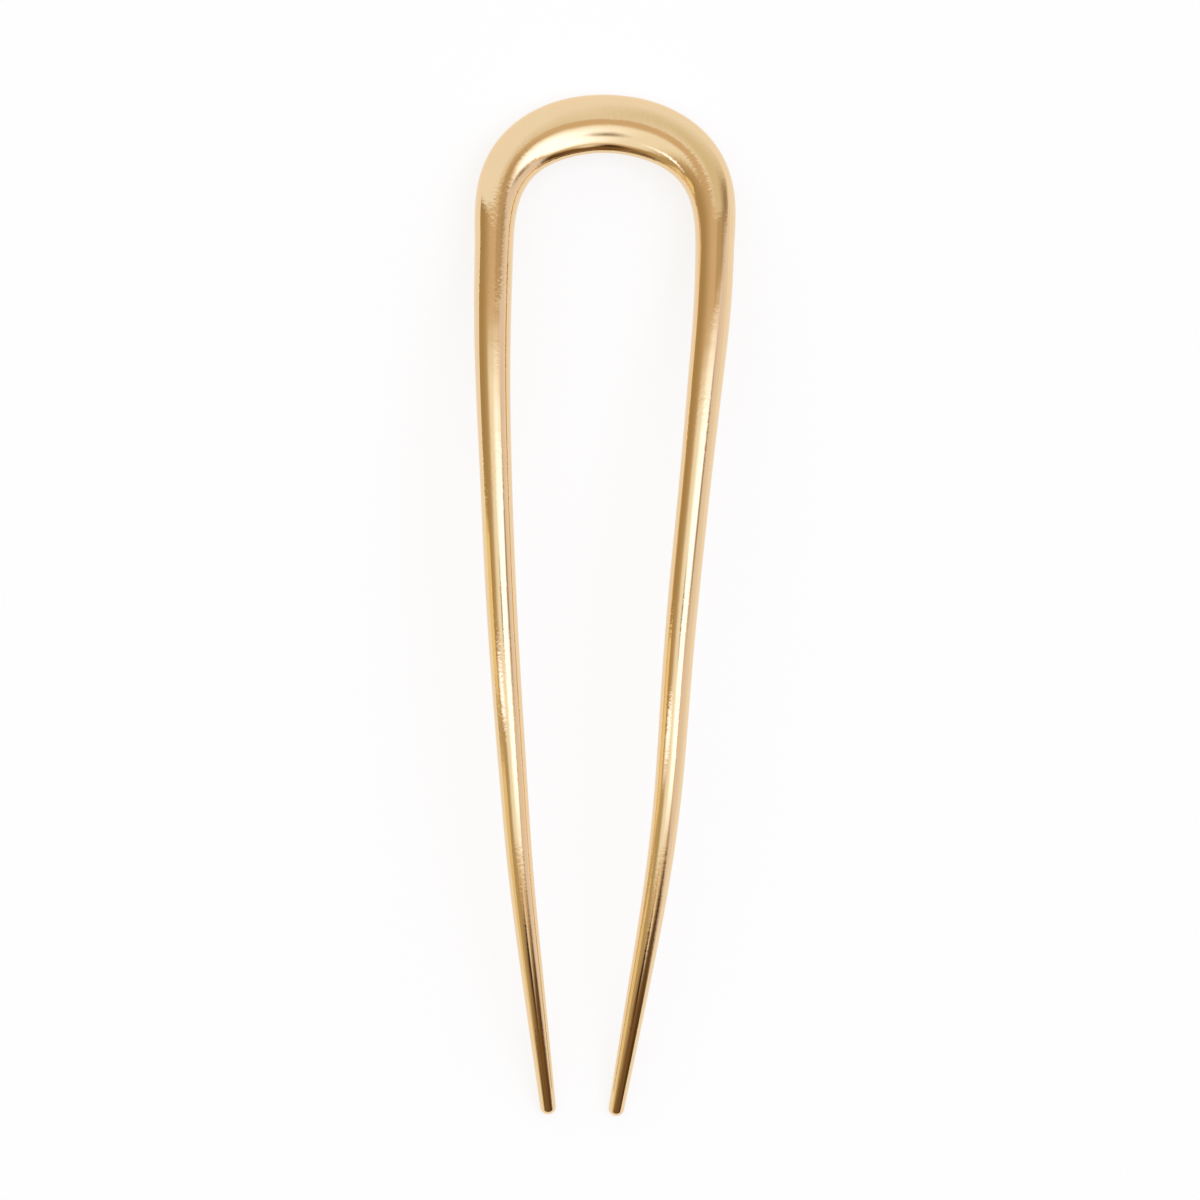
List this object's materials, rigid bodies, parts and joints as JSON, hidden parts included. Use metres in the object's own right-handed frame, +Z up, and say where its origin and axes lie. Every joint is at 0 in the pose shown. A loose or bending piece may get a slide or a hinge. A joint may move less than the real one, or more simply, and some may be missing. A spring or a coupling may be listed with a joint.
{
  "type": "hairpin",
  "caption": "Polished gold-coloured U-shaped hairpin with a thick rounded crown and slim tapering prongs that flex, for holding a bun or roll of hair.",
  "frame": {"origin": "On the table, under the middle of the pin's box: the underside of the crown and both tips touch Z = 0", "axes": "+Y along the pin towards the crown, +X across the prongs, with left_prong at -X, +Z up from the table"},
  "size_m": [0.0332, 0.1299, 0.0184],
  "materials": {
    "gold_plate": "polished gold plate over a zinc alloy casting"
  },
  "bodies": {
    "crown": {"crown": "gold_plate"},
    "left_prong": {"left_prong": "gold_plate"},
    "right_prong": {"right_prong": "gold_plate"}
  },
  "joints": [
    {"name": "left_prong_flex", "type": "hinge", "parent": "crown", "child": "left_prong", "pos_m": [-0.01399, 0.0412, 0.009], "axis": [0, 0, -1], "range_deg": [-1.8, 3], "stiffness_Nm_per_rad": 20.3},
    {"name": "right_prong_flex", "type": "hinge", "parent": "crown", "child": "right_prong", "pos_m": [0.01396, 0.0412, 0.009], "axis": [0, 0, 1], "range_deg": [-1.8, 3], "stiffness_Nm_per_rad": 20.3}
  ]
}
